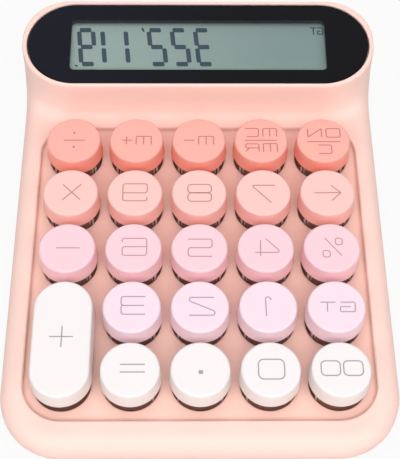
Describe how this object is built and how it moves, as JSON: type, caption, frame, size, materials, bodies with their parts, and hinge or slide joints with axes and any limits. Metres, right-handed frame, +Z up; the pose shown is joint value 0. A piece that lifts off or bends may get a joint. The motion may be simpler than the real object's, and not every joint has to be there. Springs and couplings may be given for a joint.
{
  "type": "desk calculator",
  "caption": "Wedge-shaped desk calculator with a raised display pod, a recessed tray of round sprung keys and one long key, rubber feet and a sliding battery door.",
  "frame": {"origin": "middle of the object's footprint, at the height of the desk under the feet", "axes": "+Z up, +Y from the front row of keys to the display at the back, +X to the right as the picture shows it"},
  "size_m": [0.111, 0.1468, 0.0429],
  "materials": {
    "case_pink": "fine matte",
    "window_black": "gloss",
    "lcd_green": "satin",
    "switch_black": "satin",
    "board_green": "satin",
    "battery_jacket": "satin",
    "foot_rubber": "matte",
    "stem_white": "satin",
    "cap_row_0": "fine matte",
    "cap_row_1": "fine matte",
    "cap_row_2": "fine matte",
    "cap_row_3": "fine matte",
    "cap_row_4": "fine matte"
  },
  "bodies": {
    "case": {"top_case": "case_pink", "bottom_case": "case_pink", "display_window": "window_black", "lcd_panel": "lcd_green", "switch_plate": "switch_black", "circuit_board": "board_green", "battery": "battery_jacket", "foot_front_left": "foot_rubber", "foot_front_right": "foot_rubber", "foot_back_left": "foot_rubber", "foot_back_right": "foot_rubber"},
    "door": {"battery_door": "case_pink"},
    "key_plus": {"keycap_plus": "cap_row_0", "switch_stem_plus": "stem_white"},
    "key_equals": {"keycap_equals": "cap_row_0", "switch_stem_equals": "stem_white"},
    "key_dot": {"keycap_dot": "cap_row_0", "switch_stem_dot": "stem_white"},
    "key_0": {"keycap_0": "cap_row_0", "switch_stem_0": "stem_white"},
    "key_00": {"keycap_00": "cap_row_0", "switch_stem_00": "stem_white"},
    "key_3": {"keycap_3": "cap_row_1", "switch_stem_3": "stem_white"},
    "key_2": {"keycap_2": "cap_row_1", "switch_stem_2": "stem_white"},
    "key_1": {"keycap_1": "cap_row_1", "switch_stem_1": "stem_white"},
    "key_gt": {"keycap_gt": "cap_row_1", "switch_stem_gt": "stem_white"},
    "key_minus": {"keycap_minus": "cap_row_2", "switch_stem_minus": "stem_white"},
    "key_6": {"keycap_6": "cap_row_2", "switch_stem_6": "stem_white"},
    "key_5": {"keycap_5": "cap_row_2", "switch_stem_5": "stem_white"},
    "key_4": {"keycap_4": "cap_row_2", "switch_stem_4": "stem_white"},
    "key_percent": {"keycap_percent": "cap_row_2", "switch_stem_percent": "stem_white"},
    "key_times": {"keycap_times": "cap_row_3", "switch_stem_times": "stem_white"},
    "key_9": {"keycap_9": "cap_row_3", "switch_stem_9": "stem_white"},
    "key_8": {"keycap_8": "cap_row_3", "switch_stem_8": "stem_white"},
    "key_7": {"keycap_7": "cap_row_3", "switch_stem_7": "stem_white"},
    "key_backspace": {"keycap_backspace": "cap_row_3", "switch_stem_backspace": "stem_white"},
    "key_divide": {"keycap_divide": "cap_row_4", "switch_stem_divide": "stem_white"},
    "key_m_plus": {"keycap_m_plus": "cap_row_4", "switch_stem_m_plus": "stem_white"},
    "key_m_minus": {"keycap_m_minus": "cap_row_4", "switch_stem_m_minus": "stem_white"},
    "key_mc_mr": {"keycap_mc_mr": "cap_row_4", "switch_stem_mc_mr": "stem_white"},
    "key_on_c": {"keycap_on_c": "cap_row_4", "switch_stem_on_c": "stem_white"}
  },
  "joints": [
    {"name": "press_plus", "type": "slide", "parent": "case", "child": "key_plus", "axis": [0, 0.0872, -0.9962], "range_m": [0, 0.0032], "stiffness_N_per_m": 75, "springref_m": -0.004},
    {"name": "press_equals", "type": "slide", "parent": "case", "child": "key_equals", "axis": [0, 0.0872, -0.9962], "range_m": [0, 0.0032], "stiffness_N_per_m": 75, "springref_m": -0.004},
    {"name": "press_dot", "type": "slide", "parent": "case", "child": "key_dot", "axis": [0, 0.0872, -0.9962], "range_m": [0, 0.0032], "stiffness_N_per_m": 75, "springref_m": -0.004},
    {"name": "press_0", "type": "slide", "parent": "case", "child": "key_0", "axis": [0, 0.0872, -0.9962], "range_m": [0, 0.0032], "stiffness_N_per_m": 75, "springref_m": -0.004},
    {"name": "press_00", "type": "slide", "parent": "case", "child": "key_00", "axis": [0, 0.0872, -0.9962], "range_m": [0, 0.0032], "stiffness_N_per_m": 75, "springref_m": -0.004},
    {"name": "press_3", "type": "slide", "parent": "case", "child": "key_3", "axis": [0, 0.0872, -0.9962], "range_m": [0, 0.0032], "stiffness_N_per_m": 75, "springref_m": -0.004},
    {"name": "press_2", "type": "slide", "parent": "case", "child": "key_2", "axis": [0, 0.0872, -0.9962], "range_m": [0, 0.0032], "stiffness_N_per_m": 75, "springref_m": -0.004},
    {"name": "press_1", "type": "slide", "parent": "case", "child": "key_1", "axis": [0, 0.0872, -0.9962], "range_m": [0, 0.0032], "stiffness_N_per_m": 75, "springref_m": -0.004},
    {"name": "press_gt", "type": "slide", "parent": "case", "child": "key_gt", "axis": [0, 0.0872, -0.9962], "range_m": [0, 0.0032], "stiffness_N_per_m": 75, "springref_m": -0.004},
    {"name": "press_minus", "type": "slide", "parent": "case", "child": "key_minus", "axis": [0, 0.0872, -0.9962], "range_m": [0, 0.0032], "stiffness_N_per_m": 75, "springref_m": -0.004},
    {"name": "press_6", "type": "slide", "parent": "case", "child": "key_6", "axis": [0, 0.0872, -0.9962], "range_m": [0, 0.0032], "stiffness_N_per_m": 75, "springref_m": -0.004},
    {"name": "press_5", "type": "slide", "parent": "case", "child": "key_5", "axis": [0, 0.0872, -0.9962], "range_m": [0, 0.0032], "stiffness_N_per_m": 75, "springref_m": -0.004},
    {"name": "press_4", "type": "slide", "parent": "case", "child": "key_4", "axis": [0, 0.0872, -0.9962], "range_m": [0, 0.0032], "stiffness_N_per_m": 75, "springref_m": -0.004},
    {"name": "press_percent", "type": "slide", "parent": "case", "child": "key_percent", "axis": [0, 0.0872, -0.9962], "range_m": [0, 0.0032], "stiffness_N_per_m": 75, "springref_m": -0.004},
    {"name": "press_times", "type": "slide", "parent": "case", "child": "key_times", "axis": [0, 0.0872, -0.9962], "range_m": [0, 0.0032], "stiffness_N_per_m": 75, "springref_m": -0.004},
    {"name": "press_9", "type": "slide", "parent": "case", "child": "key_9", "axis": [0, 0.0872, -0.9962], "range_m": [0, 0.0032], "stiffness_N_per_m": 75, "springref_m": -0.004},
    {"name": "press_8", "type": "slide", "parent": "case", "child": "key_8", "axis": [0, 0.0872, -0.9962], "range_m": [0, 0.0032], "stiffness_N_per_m": 75, "springref_m": -0.004},
    {"name": "press_7", "type": "slide", "parent": "case", "child": "key_7", "axis": [0, 0.0872, -0.9962], "range_m": [0, 0.0032], "stiffness_N_per_m": 75, "springref_m": -0.004},
    {"name": "press_backspace", "type": "slide", "parent": "case", "child": "key_backspace", "axis": [0, 0.0872, -0.9962], "range_m": [0, 0.0032], "stiffness_N_per_m": 75, "springref_m": -0.004},
    {"name": "press_divide", "type": "slide", "parent": "case", "child": "key_divide", "axis": [0, 0.0872, -0.9962], "range_m": [0, 0.0032], "stiffness_N_per_m": 75, "springref_m": -0.004},
    {"name": "press_m_plus", "type": "slide", "parent": "case", "child": "key_m_plus", "axis": [0, 0.0872, -0.9962], "range_m": [0, 0.0032], "stiffness_N_per_m": 75, "springref_m": -0.004},
    {"name": "press_m_minus", "type": "slide", "parent": "case", "child": "key_m_minus", "axis": [0, 0.0872, -0.9962], "range_m": [0, 0.0032], "stiffness_N_per_m": 75, "springref_m": -0.004},
    {"name": "press_mc_mr", "type": "slide", "parent": "case", "child": "key_mc_mr", "axis": [0, 0.0872, -0.9962], "range_m": [0, 0.0032], "stiffness_N_per_m": 75, "springref_m": -0.004},
    {"name": "press_on_c", "type": "slide", "parent": "case", "child": "key_on_c", "axis": [0, 0.0872, -0.9962], "range_m": [0, 0.0032], "stiffness_N_per_m": 75, "springref_m": -0.004},
    {"name": "door_slide", "type": "slide", "parent": "case", "child": "door", "axis": [0, 1, 0], "range_m": [0, 0.02]}
  ]
}
